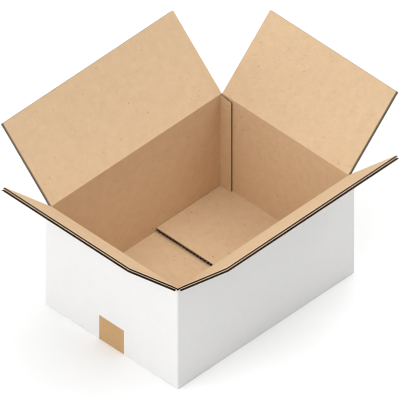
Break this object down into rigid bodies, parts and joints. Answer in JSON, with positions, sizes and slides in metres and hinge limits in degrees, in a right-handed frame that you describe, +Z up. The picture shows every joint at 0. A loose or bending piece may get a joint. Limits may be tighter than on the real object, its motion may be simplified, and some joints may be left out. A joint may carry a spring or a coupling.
{
  "type": "double-wall shipping box",
  "caption": "Open slotted carton of white-lined double-wall corrugated board, with hinged top flaps, a glued corner tab and taped bottom flaps.",
  "frame": {"origin": "centre of the underside of the box, at the level that it stands on", "axes": "+X along the long walls, +Y across towards the back long wall, +Z up"},
  "size_m": [0.6348, 0.5278, 0.325],
  "materials": {
    "board": "brown kraft corrugated board, white liner outside, matt",
    "tape": "brown paper packing tape, satin"
  },
  "bodies": {
    "carton": {"carton_body": "board", "bottom_tape": "tape"},
    "end_left": {"end_flap_left": "board"},
    "end_right": {"end_flap_right": "board"},
    "side_front": {"side_flap_front": "board"},
    "side_back": {"side_flap_back": "board"}
  },
  "joints": [
    {"name": "end_left_crease", "type": "hinge", "parent": "carton", "child": "end_left", "pos_m": [-0.207, 0, 0.2097], "axis": [0, -1, 0], "range_deg": [-135, 60]},
    {"name": "end_right_crease", "type": "hinge", "parent": "carton", "child": "end_right", "pos_m": [0.207, 0, 0.2097], "axis": [0, 1, 0], "range_deg": [-135, 60]},
    {"name": "side_back_crease", "type": "hinge", "parent": "carton", "child": "side_back", "pos_m": [0, 0.1465, 0.2126], "axis": [-1, 0, 0], "range_deg": [-135.9, 60]},
    {"name": "side_front_crease", "type": "hinge", "parent": "carton", "child": "side_front", "pos_m": [0, -0.1465, 0.2126], "axis": [1, 0, 0], "range_deg": [-132.8, 60]}
  ]
}
